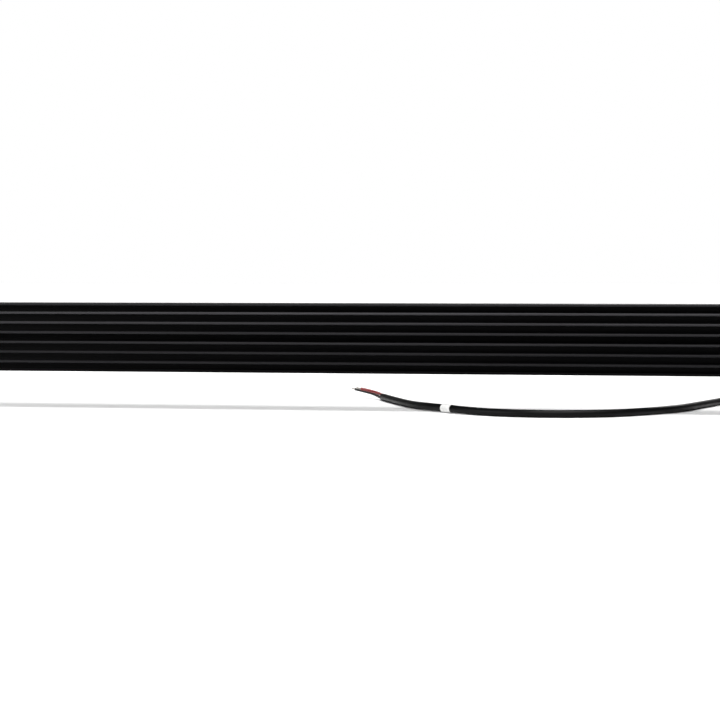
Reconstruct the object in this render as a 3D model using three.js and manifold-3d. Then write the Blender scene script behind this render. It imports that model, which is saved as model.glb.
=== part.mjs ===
// Double-row LED light bar on two tilting feet: +X along the bar, the lens faces -Y, +Z is up,
// and the origin is on the ground, midway between the feet. All sizes are in millimetres.
import * as THREE from 'three';
import { mergeVertices } from 'three/addons/utils/BufferGeometryUtils.js';
import Module from 'manifold-3d';

const wasm = await Module();
wasm.setup();

// Fits and clearances
const gap = 0.3;                // between two pieces that touch
const slideGap = 0.4;           // between neighbouring modules in the housing

// Housing extrusion
const housingLength = 1230;
const housingHeight = 78;
const housingDepth = 62;
const groundClearance = 42;     // from the ground to the underside of the housing
const wall = 2.6;
const spaces = 7;               // spaces between the plates of the finned back
const finTip = 1.3;             // half the thickness of a fin at its tip
const finRoot = 1.7;            // half the thickness of a fin at its root
const finArc = 150;             // radius of the arc that the fin tips follow
const shallowFloor = 17.4;      // y of the floor of a space that backs a chamber
const outerFloor = 13.6;        // y of the floor of the first and last spaces
const centreFloor = 9;          // y of the floor of the middle space
const webThickness = 4;         // plate that carries the LED boards
const chamberDepth = 8.4;
const cornerRadius = 2.2;
const webFront = 2;             // y of the face that carries the LED boards
const lipThickness = 2.2;       // lip that holds the lens in
const lipHeight = 7;            // how far the lip stands in from the housing's top
const bossHeight = 8.6;         // how far the screw bosses stand in from the housing's top
const bossDepth = 8.6;
const screwInset = 5;           // of the front screws, from the housing's top
const rearScrewInset = 6;
const rearScrewY = 8.2;

// Lens, boards and reflectors
const lensThickness = 3;
const sealThickness = 1.2;
const modules = 6;
const cellsPerModule = 8;
const moduleMargin = 5;         // bare length at each end of the housing
const rowOffset = 14.5;         // of each row of cells, from the middle
const boardThickness = 1.6;
const ledSize = 3.5;
const ledHeight = 1.6;
const cupBackRadius = 3.6;
const cupWall = 0.7;
const reflectorPlate = 1.6;
const cupSides = 6;

// End caps, gaskets and their screws
const capThickness = 22;
const capPlate = 4;
const capOverhang = 1;
const capRadius = 5;
const cavityFront = -22.5;
const cavityBack = 13;
const cavityInset = 6;          // from the cap's top to its hollow
const postRadius = 5.2;
const gasketThickness = 1.5;
const capScrewRadius = 2;
const capScrewHead = 3.5;
const capScrewHeadHeight = 3.8;
const capScrewReach = 40;

// Feet, pivots and locks
const plateThickness = 4;
const footHalfWidth = 25;
const footReach = 33.8;         // from the arm's inner face to the end of the base
const bendRadius = 3;
const headRadius = 13.5;
const shoulderDrop = 20;        // from the pivot down to the arm's full width
const tiltLimit = 35;           // degrees each way
const pivotRadius = 4;
const pivotHead = 6.5;
const pivotHeadHeight = 8;
const pivotReach = 26;
const lockOffset = 22;          // from the pivot down to the lock screw
const lockRadius = 3;
const lockHead = 5;
const lockHeadHeight = 6;
const lockReach = 22;
const bossWall = 5;             // around each threaded hole in the cap
const frictionThickness = 1.5;
const frictionRadius = 12;
const washerThickness = 1.6;
const washerRadius = 9.5;
const lockWasherRadius = 7;
const springThickness = 2.2;
const springRadius = 7.2;
const springSlit = 1;
const baseSlotWidth = 9;
const baseSlotLength = 18;
const baseSlotY = 13;
const baseCornerRadius = 6;
const baseInset = 11;           // from the arm's inner face to the base's inner edge

// Cord and its gland, and the vent at the other end
const cordRadius = 4.25;
const glandY = -5.5;
const glandZ = 25.5;            // from the pivot
const glandThread = 7.7;
const glandFlats = 9.5;         // half of the size across the flats
const glandHex = 6;
const glandSpigot = 8;
const glandSealWall = 1.45;
const glandNutHex = 8;
const glandNutDome = 8.4;
const ventThread = 6;
const ventHead = 8.5;
const ventHeadHeight = 5;
const threadReach = 11;         // of the gland and the vent into the cap
const ringThickness = 1.2;
const coreRadius = 1.65;
const coreOffset = 1.85;        // of each core from the middle of the cord
const redTipLength = 6;
const blackTipLength = 4.5;
const bandLength = 12;
const tipRadius = 1.1;
const sleeveThickness = 0.4;

// Driver boards
const driverLength = 300;
const driverWidth = 16;
const driverEnd = 55;           // from the housing's end to the driver board
const driverStages = 4;
const driverParts = [           // on each stage: from x, to x, half width, height
  [-26, -14, 6, 4.4],
  [-6, 1, 3, 1.6],
  [8, 18, 5, 3.4],
];

// Worked out from the sizes above
const halfLength = housingLength / 2;
const halfHeight = housingHeight / 2;
const halfDepth = housingDepth / 2;
const pivotHeight = groundClearance + halfHeight;
const pitch = housingHeight / spaces;
const innerTop = halfHeight - wall;
const bossTop = halfHeight - bossHeight;
const lipBack = -halfDepth + lipThickness;
const lensFront = lipBack + gap;
const lensBack = lensFront + lensThickness;
const sealFront = lensBack + gap;
const ledge = sealFront + sealThickness + gap;
const webBack = webFront + webThickness;
const chamberBack = webBack + chamberDepth;
const frontScrewY = ledge + bossDepth / 2;
const gasketStart = halfLength + gap;
const capStart = gasketStart + gasketThickness + gap;
const capEnd = capStart + capThickness;
const frictionStart = capEnd + gap;
const armStart = frictionStart + frictionThickness + gap;
const armEnd = armStart + plateThickness;
const washerStart = armEnd + gap;
const springStart = washerStart + washerThickness + gap;
const pivotHeadStart = springStart + springThickness + gap;
const lockHeadStart = washerStart + washerThickness + gap;
const cavityTop = halfHeight + capOverhang - cavityInset;
const moduleLength = (housingLength - 2 * moduleMargin) / modules - slideGap;
const cellPitch = moduleLength / cellsPerModule;
const moduleHalfHeight = bossTop - slideGap;
const boardFront = webFront - gap - boardThickness;
const reflectorBack = boardFront - gap;
const reflectorFront = ledge + gap;
const cupFrontRadius = Math.min(cellPitch / 2, rowOffset) - cupWall - gap / 2;
const screwPlaces = [
  [frontScrewY, halfHeight - screwInset],
  [rearScrewY, halfHeight - rearScrewInset],
  [rearScrewY, rearScrewInset - halfHeight],
  [frontScrewY, screwInset - halfHeight],
];

// Materials
function finish(color, roughness, metalness) {
  return new THREE.MeshStandardMaterial({ color, roughness, metalness });
}
const blackMetal = finish(0x141416, 0.42, 0.55);
const clearPlastic = finish(0xdfe8ee, 0.05, 0);
const rubber = finish(0x0f0f10, 0.8, 0);
const steel = finish(0xb9bcc0, 0.3, 1);
const blackSteel = finish(0x1b1c1e, 0.4, 0.9);
const boardWhite = finish(0xe9e9e4, 0.45, 0);
const boardGreen = finish(0x1f5a3a, 0.5, 0);
const chrome = finish(0xe4e6e8, 0.08, 1);
const blackPlastic = finish(0x17181a, 0.5, 0);
const cordBlack = finish(0x101011, 0.38, 0);
const red = finish(0xc0241c, 0.4, 0);
const tinned = finish(0xc9b98f, 0.35, 1);
const white = finish(0xf2f2ee, 0.5, 0);

// Joining and cutting
function solid(geometry) {
  const bare = geometry.clone();
  bare.deleteAttribute('normal');
  bare.deleteAttribute('uv');
  const merged = mergeVertices(bare, 1e-4);
  return new wasm.Manifold(new wasm.Mesh({
    numProp: 3,
    vertProperties: new Float32Array(merged.attributes.position.array),
    triVerts: new Uint32Array(merged.index.array),
  }));
}

function geometryOf(manifold) {
  const mesh = manifold.getMesh();
  const geometry = new THREE.BufferGeometry();
  geometry.setAttribute('position', new THREE.BufferAttribute(mesh.vertProperties, 3));
  geometry.setIndex(new THREE.BufferAttribute(mesh.triVerts, 1));
  geometry.computeVertexNormals();
  return geometry;
}

function join(pieces) {
  return pieces.reduce((sum, piece) => sum.add(piece));
}

function cut(body, tools) {
  return tools.reduce((left, tool) => left.subtract(tool), body);
}

// Outlines
function outline(points) {
  return new THREE.Shape(points.map(([u, v]) => new THREE.Vector2(u, v)));
}

function arc(u, v, radius, from, to, steps) {
  const points = [];
  for (let i = 0; i <= steps; i += 1) {
    const angle = THREE.MathUtils.degToRad(from + (to - from) * i / steps);
    points.push([u + radius * Math.cos(angle), v + radius * Math.sin(angle)]);
  }
  return points;
}

function circle(u, v, radius, sides, turn = 0) {
  return arc(u, v, radius, turn, turn + 360, sides).slice(0, -1);
}

function rounded(u0, u1, v0, v1, radius) {
  return [
    ...arc(u1 - radius, v1 - radius, radius, 0, 90, 4),
    ...arc(u0 + radius, v1 - radius, radius, 90, 180, 4),
    ...arc(u0 + radius, v0 + radius, radius, 180, 270, 4),
    ...arc(u1 - radius, v0 + radius, radius, 270, 360, 4),
  ];
}

// Extrusions of an outline, and round pieces about a line along X
const unitX = new THREE.Vector3(1, 0, 0);
const unitY = new THREE.Vector3(0, 1, 0);
const unitZ = new THREE.Vector3(0, 0, 1);

function extrude(shape, depth) {
  return new THREE.ExtrudeGeometry(shape, { depth, bevelEnabled: false });
}

function alongX(shape, from, to) {
  const geometry = extrude(shape, Math.abs(to - from));
  geometry.applyMatrix4(new THREE.Matrix4().makeBasis(unitY, unitZ, unitX));
  return geometry.translate(Math.min(from, to), 0, 0);
}

function alongY(shape, from, to) {
  const geometry = extrude(shape, Math.abs(to - from));
  geometry.applyMatrix4(new THREE.Matrix4().makeBasis(unitX, unitZ, unitY.clone().negate()));
  return geometry.translate(0, Math.max(from, to), 0);
}

function alongZ(shape, from, to) {
  return extrude(shape, Math.abs(to - from)).translate(0, 0, Math.min(from, to));
}

function block(x0, x1, y0, y1, z0, z1) {
  const geometry = new THREE.BoxGeometry(Math.abs(x1 - x0), Math.abs(y1 - y0), Math.abs(z1 - z0));
  return geometry.translate((x0 + x1) / 2, (y0 + y1) / 2, (z0 + z1) / 2);
}

function rod(radius, x0, x1, y, z, sides, turn = 0) {
  return alongX(outline(circle(y, z, radius, sides, turn)), x0, x1);
}

function ring(outer, inner, x0, x1, y, z, sides) {
  const shape = outline(circle(y, z, outer, sides));
  shape.holes.push(outline(circle(y, z, inner, sides)));
  return alongX(shape, x0, x1);
}

function tube(points, radius, sides, steps) {
  const path = new THREE.CatmullRomCurve3(points.map((point) => new THREE.Vector3(...point)));
  const section = outline(circle(0, 0, radius, sides));
  return new THREE.ExtrudeGeometry(section, { extrudePath: path, steps, bevelEnabled: false });
}

// The scene: everything on the bar is placed about the pivots' line
const object = new THREE.Group();
const bar = new THREE.Group();
bar.position.z = pivotHeight;
object.add(bar);

function place(parent, name, geometry, material) {
  const mesh = new THREE.Mesh(geometry, material);
  mesh.name = name;
  parent.add(mesh);
}

const ends = [
  { name: 'left', side: -1 },
  { name: 'right', side: 1 },
];

// Housing
function tipY(z) {
  return halfDepth - finArc + Math.sqrt(finArc ** 2 - z ** 2);
}

function upperHousing() {
  const wallTip = tipY(halfHeight);
  const half = wall / 2;
  const points = [
    [webFront, innerTop],
    [ledge + bossDepth, innerTop],
    [ledge + bossDepth, bossTop],
    [ledge, bossTop],
    [ledge, innerTop],
    [lipBack, innerTop],
    [lipBack, halfHeight - lipHeight],
    [-halfDepth, halfHeight - lipHeight],
    ...arc(cornerRadius - halfDepth, halfHeight - cornerRadius, cornerRadius, 180, 90, 3),
    ...arc(wallTip - half, halfHeight - half, half, 90, -90, 5),
  ];
  const floors = [outerFloor, shallowFloor, shallowFloor, centreFloor];
  for (let fin = 1; fin <= 3; fin += 1) {
    const z = halfHeight - fin * pitch;
    points.push([floors[fin - 1], fin === 1 ? innerTop : z + pitch - finRoot]);
    points.push([floors[fin - 1], z + finRoot]);
    points.push(...arc(tipY(z) - finTip, z, finTip, 90, -90, 5));
  }
  points.push([centreFloor, halfHeight - 3 * pitch - finRoot]);
  return points;
}

function housing() {
  const upper = upperHousing();
  const lower = upper.map(([y, z]) => [y, -z]).reverse();
  const shape = outline([...upper, ...lower]);
  const chamberInner = halfHeight - 3 * pitch + finRoot;
  const chamberOuter = halfHeight - pitch - finRoot;
  for (const side of [-1, 1]) {
    const edges = [side * chamberInner, side * chamberOuter];
    const low = Math.min(...edges);
    const high = Math.max(...edges);
    shape.holes.push(outline([
      [webBack, low], [chamberBack, low], [chamberBack, high], [webBack, high],
    ]));
  }
  for (const [y, z] of screwPlaces) {
    shape.holes.push(outline(circle(y, z, capScrewRadius + gap, 8)));
  }
  return alongX(shape, -halfLength, halfLength);
}
place(bar, 'housing', housing(), blackMetal);

// Lens and its two seal strips
const lensHalf = innerTop - gap;
place(bar, 'lens', block(gap - halfLength, halfLength - gap, lensFront, lensBack, -lensHalf, lensHalf),
  clearPlastic);
for (const [name, side] of [['top', 1], ['bottom', -1]]) {
  place(bar, `lens_seal_${name}`, block(gap - halfLength, halfLength - gap,
    sealFront, sealFront + sealThickness, side * (bossTop + gap), side * lensHalf), rubber);
}

// LED boards and reflectors
function cellCentres(start) {
  const centres = [];
  for (let cell = 0; cell < cellsPerModule; cell += 1) {
    for (const row of [-1, 1]) centres.push([start + (cell + 0.5) * cellPitch, row * rowOffset]);
  }
  return centres;
}

function ledBoard(start) {
  const half = ledSize / 2;
  const board = solid(block(start, start + moduleLength, boardFront, boardFront + boardThickness,
    -moduleHalfHeight, moduleHalfHeight));
  const packages = cellCentres(start).map(([x, z]) => solid(
    block(x - half, x + half, boardFront - ledHeight, boardFront + boardThickness / 2, z - half, z + half)));
  return geometryOf(join([board, ...packages]));
}

function cone(frontRadius, backRadius, front, back, x, z) {
  const geometry = new THREE.CylinderGeometry(backRadius, frontRadius, back - front, cupSides);
  return geometry.translate(x, (front + back) / 2, z);
}

function reflector(start) {
  const plate = solid(block(start, start + moduleLength, reflectorFront,
    reflectorFront + reflectorPlate, -moduleHalfHeight, moduleHalfHeight));
  const centres = cellCentres(start);
  const shells = centres.map(([x, z]) => solid(cone(cupFrontRadius + cupWall, cupBackRadius + cupWall,
    reflectorFront + reflectorPlate / 2, reflectorBack, x, z)));
  const slope = (cupFrontRadius - cupBackRadius) / (reflectorBack - reflectorFront);
  const hollows = centres.map(([x, z]) => solid(cone(cupFrontRadius + slope, cupBackRadius - slope,
    reflectorFront - 1, reflectorBack + 1, x, z)));
  return geometryOf(cut(join([plate, ...shells]), hollows));
}

for (let module = 0; module < modules; module += 1) {
  const start = moduleMargin - halfLength + module * (moduleLength + slideGap) + slideGap / 2;
  place(bar, `led_board_${module + 1}`, ledBoard(start), boardWhite);
  place(bar, `reflector_${module + 1}`, reflector(start), chrome);
}

// Driver boards in the two chambers behind the web
const driverStart = driverEnd - halfLength;
const driverBack = webBack + gap + boardThickness;

function driverBoard(z) {
  const half = driverWidth / 2;
  const pieces = [block(driverStart, driverStart + driverLength, webBack + gap, driverBack,
    z - half, z + half)];
  for (let stage = 0; stage < driverStages; stage += 1) {
    const x = driverStart + driverLength * (stage + 0.5) / driverStages;
    const base = driverBack - boardThickness / 2;
    for (const [from, to, breadth, height] of driverParts) {
      pieces.push(block(x + from, x + to, base, driverBack + height, z - breadth, z + breadth));
    }
  }
  return geometryOf(join(pieces.map(solid)));
}
const driverZ = halfHeight - 2 * pitch;
place(bar, 'driver_board_upper', driverBoard(driverZ), boardGreen);
place(bar, 'driver_board_lower', driverBoard(-driverZ), boardGreen);

// End caps with their gaskets and screws
function cavityOutline() {
  return outline([
    [cavityFront, -cavityTop], [cavityBack, -cavityTop], [cavityBack, cavityTop], [cavityFront, cavityTop],
  ]);
}

function posts(side, from, to) {
  return screwPlaces.map(([y, z]) => solid(rod(postRadius, side * from, side * to, y, z, 12)));
}

function endCap(side, threadRadius) {
  const reach = halfDepth + capOverhang;
  const top = halfHeight + capOverhang;
  const body = solid(alongX(outline(rounded(-reach, reach, -top, top, capRadius)),
    side * capStart, side * capEnd));
  const innerFace = capStart - 1;
  const plate = capEnd - capPlate;
  const bosses = [
    solid(rod(pivotRadius + bossWall, side * innerFace, side * plate, 0, 0, 16)),
    solid(rod(lockRadius + bossWall, side * innerFace, side * plate, 0, -lockOffset, 14)),
  ];
  const hollow = cut(solid(alongX(cavityOutline(), side * innerFace, side * plate)),
    [...posts(side, innerFace - 1, capEnd), ...bosses]);
  const outside = capEnd + 1;
  const headSeat = capEnd - capScrewHeadHeight - 2 * gap;
  const holes = screwPlaces.flatMap(([y, z]) => [
    solid(rod(capScrewRadius + gap, side * innerFace, side * outside, y, z, 8)),
    solid(rod(capScrewHead + gap, side * headSeat, side * outside, y, z, 12)),
  ]);
  holes.push(solid(rod(pivotRadius + gap, side * (pivotHeadStart - pivotReach - gap), side * outside,
    0, 0, 16)));
  holes.push(solid(rod(lockRadius + gap, side * (lockHeadStart - lockReach - gap), side * outside,
    0, -lockOffset, 12)));
  holes.push(solid(rod(threadRadius + gap, side * (plate - 1), side * outside, glandY, glandZ, 16)));
  return geometryOf(cut(body, [hollow, ...holes]));
}

function gasket(side) {
  const end = gasketStart + gasketThickness;
  const through = [side * (gasketStart - 1), side * (end + 1)];
  const edge = solid(alongX(outline(rounded(ledge - 5, shallowFloor - 1, -innerTop - 1, innerTop + 1, 3)),
    side * gasketStart, side * end));
  const window = cut(solid(alongX(cavityOutline(), ...through)), posts(side, gasketStart - 2, end + 2));
  const holes = screwPlaces.map(([y, z]) => solid(rod(capScrewRadius + gap, ...through, y, z, 8)));
  return geometryOf(cut(edge, [window, ...holes]));
}

function socketScrew(side, headStart, head, headHeight, shank, reach, y, z, sides) {
  const body = solid(rod(head, side * headStart, side * (headStart + headHeight), y, z, sides));
  const halfHead = headStart + headHeight / 2;
  const stem = solid(rod(shank, side * (headStart - reach), side * halfHead, y, z, sides - 4));
  const key = solid(rod(head / 2, side * halfHead, side * (headStart + headHeight + 1), y, z, 6));
  return geometryOf(cut(body.add(stem), [key]));
}

for (const { name, side } of ends) {
  place(bar, `end_cap_${name}`, endCap(side, side < 0 ? glandThread : ventThread), blackMetal);
  place(bar, `end_gasket_${name}`, gasket(side), rubber);
  screwPlaces.forEach(([y, z], index) => {
    place(bar, `cap_screw_${name}_${index + 1}`, socketScrew(side, capEnd - capScrewHeadHeight - gap,
      capScrewHead, capScrewHeadHeight, capScrewRadius, capScrewReach, y, z, 12), blackSteel);
  });
}

// Pivot and lock hardware, which stays with the bar
function springWasher(side) {
  const body = solid(ring(springRadius, pivotRadius + gap, side * springStart,
    side * (springStart + springThickness), 0, 0, 16));
  const slit = solid(block(side * (springStart - 1), side * (springStart + springThickness + 1),
    -springSlit / 2, springSlit / 2, 0, springRadius + 1));
  return geometryOf(cut(body, [slit]));
}

for (const { name, side } of ends) {
  place(bar, `friction_washer_${name}`, ring(frictionRadius, pivotRadius + gap, side * frictionStart,
    side * (frictionStart + frictionThickness), 0, 0, 20), blackPlastic);
  place(bar, `pivot_washer_${name}`, ring(washerRadius, pivotRadius + gap, side * washerStart,
    side * (washerStart + washerThickness), 0, 0, 20), steel);
  place(bar, `spring_washer_${name}`, springWasher(side), steel);
  place(bar, `pivot_bolt_${name}`, socketScrew(side, pivotHeadStart, pivotHead, pivotHeadHeight,
    pivotRadius, pivotReach, 0, 0, 20), steel);
  place(bar, `lock_washer_${name}`, ring(lockWasherRadius, lockRadius + gap, side * washerStart,
    side * (washerStart + washerThickness), 0, -lockOffset, 16), steel);
  place(bar, `lock_screw_${name}`, socketScrew(side, lockHeadStart, lockHead, lockHeadHeight,
    lockRadius, lockReach, 0, -lockOffset, 16), steel);
}

// Feet: one bent plate each, with a lock slot about the pivot and two slots in the base
function footProfile(side) {
  const inner = side * (armStart + plateThickness + bendRadius);
  const floor = -pivotHeight;
  const centre = floor + plateThickness + bendRadius;
  const outerTurn = side < 0 ? [0, -90] : [180, 270];
  return outline([
    [side * armStart, headRadius + 1],
    ...arc(inner, centre, bendRadius + plateThickness, ...outerTurn, 5),
    [side * (armStart + footReach), floor],
    [side * (armStart + footReach), floor + plateThickness],
    ...arc(inner, centre, bendRadius, ...outerTurn.slice().reverse(), 5),
    [side * armEnd, headRadius + 1],
  ]);
}

function armOutline() {
  const shoulder = Math.atan2(shoulderDrop, footHalfWidth);
  const tangent = Math.acos(headRadius / Math.hypot(footHalfWidth, shoulderDrop)) - shoulder;
  const angle = THREE.MathUtils.radToDeg(tangent);
  return outline([
    [footHalfWidth, -pivotHeight - 1],
    [footHalfWidth, -shoulderDrop],
    ...arc(0, 0, headRadius, angle, 180 - angle, 10),
    [-footHalfWidth, -shoulderDrop],
    [-footHalfWidth, -pivotHeight - 1],
  ]);
}

function lockSlot(halfWidth) {
  const end = (degrees) => {
    const angle = THREE.MathUtils.degToRad(degrees - 90);
    return [lockOffset * Math.cos(angle), lockOffset * Math.sin(angle)];
  };
  const swing = tiltLimit + 1;
  return outline([
    ...arc(0, 0, lockOffset + halfWidth, -90 - swing, swing - 90, 12),
    ...arc(...end(swing), halfWidth, swing - 90, swing + 90, 5).slice(1),
    ...arc(0, 0, lockOffset - halfWidth, swing - 90, -90 - swing, 12).slice(1),
    ...arc(...end(-swing), halfWidth, 90 - swing, 270 - swing, 5).slice(1, -1),
  ]);
}

function baseSlot(side, y) {
  const x = side * (armEnd + bendRadius + (footReach - plateThickness - bendRadius) / 2);
  const half = baseSlotLength / 2;
  const radius = baseSlotWidth / 2;
  return outline(rounded(x - radius, x + radius, y - half, y + half, radius - 0.01));
}

function foot(side) {
  const end = armStart + footReach;
  const inner = armStart - baseInset;
  const plan = rounded(Math.min(side * inner, side * end), Math.max(side * inner, side * end),
    -footHalfWidth, footHalfWidth, baseCornerRadius);
  const blank = solid(alongY(footProfile(side), -footHalfWidth, footHalfWidth))
    .intersect(solid(alongX(armOutline(), side * (armStart - 1), side * (end + 1))))
    .intersect(solid(alongZ(outline(plan), -pivotHeight - 1, headRadius + 1)));
  const through = [side * (armStart - 1), side * (armEnd + 1)];
  return geometryOf(cut(blank, [
    solid(rod(pivotRadius + gap, ...through, 0, 0, 16)),
    solid(alongX(lockSlot(lockRadius + gap), ...through)),
    solid(alongZ(baseSlot(side, baseSlotY), -pivotHeight - 1, plateThickness + 1 - pivotHeight)),
    solid(alongZ(baseSlot(side, -baseSlotY), -pivotHeight - 1, plateThickness + 1 - pivotHeight)),
  ]));
}

for (const { name, side } of ends) {
  place(bar, `foot_${name}`, foot(side), blackMetal);
}

// Cord gland at the left end: sealing ring, body, rubber sleeve and dome nut
const ringStart = capEnd + gap;
const hexStart = ringStart + ringThickness + gap;
const hexEnd = hexStart + glandHex;
const nutStart = hexEnd + gap;
const nutHexEnd = nutStart + glandNutHex;
const nutEnd = nutHexEnd + glandNutDome;
const cordBore = cordRadius + gap;
const hexCorner = glandFlats / Math.cos(Math.PI / 6);
const sleeveRadius = cordBore + glandSealWall;

function hexRod(from, to) {
  return solid(rod(hexCorner, -from, -to, glandY, glandZ, 6));
}

function glandBody() {
  const thread = solid(rod(glandThread, threadReach - capEnd, -hexStart - 1, glandY, glandZ, 16));
  const spigot = solid(rod(glandSpigot - gap, 1 - hexEnd, -nutHexEnd, glandY, glandZ, 16));
  const bore = solid(rod(cordBore, threadReach + 1 - capEnd, -nutEnd, glandY, glandZ, 16));
  const seat = solid(rod(sleeveRadius + gap, -hexEnd, -nutEnd, glandY, glandZ, 16));
  return geometryOf(cut(join([thread, hexRod(hexStart, hexEnd), spigot]), [bore, seat]));
}

function glandNut() {
  const dome = new THREE.CylinderGeometry(cordRadius + 2, glandFlats, glandNutDome, 16);
  dome.rotateZ(Math.PI / 2).translate(-(nutHexEnd + nutEnd) / 2, glandY, glandZ);
  const inside = solid(rod(glandSpigot + gap, 1 - nutStart, -nutHexEnd - gap, glandY, glandZ, 16));
  const bore = solid(rod(cordBore, 1 - nutStart, -nutEnd - 1, glandY, glandZ, 16));
  return geometryOf(cut(hexRod(nutStart, nutHexEnd).add(solid(dome)), [inside, bore]));
}

place(bar, 'gland_ring', ring(glandFlats, glandThread + gap, -ringStart, -ringStart - ringThickness,
  glandY, glandZ, 20), rubber);
place(bar, 'gland_body', glandBody(), blackPlastic);
place(bar, 'gland_sleeve', ring(sleeveRadius, cordBore, -hexEnd - gap, -nutHexEnd,
  glandY, glandZ, 16), rubber);
place(bar, 'gland_nut', glandNut(), blackPlastic);

// Breather vent at the right end
place(bar, 'vent_ring', ring(ventHead - 0.5, ventThread + gap, ringStart, ringStart + ringThickness,
  glandY, glandZ, 20), rubber);
const ventHeadEnd = hexStart + ventHeadHeight;
const ventStem = rod(ventThread, capEnd - threadReach, hexStart + 1, glandY, glandZ, 16);
const ventTop = rod(ventHead, hexStart, ventHeadEnd, glandY, glandZ, 18);
const ventBore = rod(1.5, capEnd - threadReach - 1, hexStart + ventHeadHeight / 2, glandY, glandZ, 8);
const ventPlug = cut(solid(ventStem).add(solid(ventTop)), [solid(ventBore)]);
place(bar, 'vent_plug', geometryOf(ventPlug), blackPlastic);

// Cord: out of the gland, down to the ground and along it to its bare end
const cordZ = cordRadius + 0.1;
const sleeveZ = cordRadius + gap + sleeveThickness + 0.05;
const exitZ = pivotHeight + glandZ;
const cordPoints = [
  [-640, glandY, exitZ], [-668, glandY, exitZ], [-692, glandY, exitZ],
  [-714, glandY, 100.8], [-730.5, glandY, 85], [-737, -6, 62.5], [-737, -6.5, 50],
  [-737, -12.5, 27.5], [-737, -29, 10.9], [-736, -52, 4.9], [-735, -68, cordZ],
  [-733, -92, cordZ], [-731, -124, cordZ], [-726, -151, cordZ], [-713, -175, cordZ],
  [-692, -193, cordZ], [-666, -203, cordZ], [-630, -206, cordZ], [-560, -206, cordZ],
  [-500, -205, cordZ], [-460, -199, cordZ], [-428, -182, cordZ], [-408, -160, cordZ],
  [-397, -136, cordZ], [-377, -82, cordZ], [-350, -15, cordZ], [-315, 37, cordZ],
  [-281, 69, cordZ], [-248, 84, cordZ], [-214, 90, cordZ], [-180, 87, cordZ],
  [-145, 73, cordZ], [-107, 44, sleeveZ], [-76, 9, sleeveZ], [-53, -28, cordZ],
  [-30, -78, cordZ], [-13, -120, cordZ], [2.5, -161, cordZ],
];
const cordSteps = 78;
place(object, 'cord_jacket', tube(cordPoints, cordRadius, 10, cordSteps), cordBlack);

// Plain band round the cord, drawn along the same path
function markerBand() {
  const path = new THREE.CatmullRomCurve3(cordPoints.map((point) => new THREE.Vector3(...point)));
  const middle = new THREE.Vector3(-97.7, 34.4, sleeveZ);
  const spacing = bandLength / 6;
  const samples = path.getSpacedPoints(Math.round(path.getLength() / spacing));
  const nearest = samples.reduce((best, point, index) => (
    point.distanceTo(middle) < samples[best].distanceTo(middle) ? index : best), 0);
  const section = outline(circle(0, 0, cordRadius + gap + sleeveThickness, 12));
  section.holes.push(outline(circle(0, 0, cordRadius + gap, 12)));
  const stretch = new THREE.CatmullRomCurve3(samples.slice(nearest - 3, nearest + 4));
  return new THREE.ExtrudeGeometry(section, { extrudePath: stretch, steps: 3, bevelEnabled: false });
}
place(object, 'marker_band', markerBand(), white);

// Two cores, each with its bare strands straight on from its end
const redPoints = [
  [2.8, -161.6, cordZ + coreOffset], [9, -175.5, 7.4], [21, -186.5, 9.8], [34, -188.5, 12.4],
];
const blackPoints = [
  [2.8, -161.6, cordZ - coreOffset], [10, -178.5, 3.4], [22, -191.8, 6.8], [42, -193.5, 11.6],
];

function tipPoints(core, length) {
  const [before, end] = core.slice(-2).map((point) => new THREE.Vector3(...point));
  const along = end.clone().sub(before).normalize();
  return [gap, length / 2, length].map((run) => end.clone().addScaledVector(along, run).toArray());
}

place(object, 'core_red', tube(redPoints, coreRadius, 8, 10), red);
place(object, 'core_black', tube(blackPoints, coreRadius, 8, 10), cordBlack);
place(object, 'tip_red', tube(tipPoints(redPoints, redTipLength), tipRadius, 8, 2), tinned);
place(object, 'tip_black', tube(tipPoints(blackPoints, blackTipLength), tipRadius, 8, 2), tinned);

// Leads inside, from the gland to the upper driver board
const leadY = driverBack + coreRadius;
const leadPoints = (offset, rise) => [
  [-capEnd, glandY, glandZ + offset], [threadReach - capEnd, glandY, glandZ + offset],
  [threadReach - capEnd + 6, glandY + 6, glandZ + offset - 2],
  [-halfLength - 1, leadY - 1.6, driverZ + 2.8 + rise * 1.1],
  [9 - halfLength, leadY, driverZ + rise], [driverStart - 20, leadY, driverZ + rise],
  [driverStart - 1, leadY, driverZ + rise],
];
place(bar, 'lead_red', tube(leadPoints(coreOffset, 2.2), coreRadius - 0.1, 8, 18), red);
place(bar, 'lead_black', tube(leadPoints(-coreOffset, -2.2), coreRadius - 0.1, 8, 18), cordBlack);

export default object;
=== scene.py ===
import math

import bpy
from mathutils import Matrix, Vector


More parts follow.
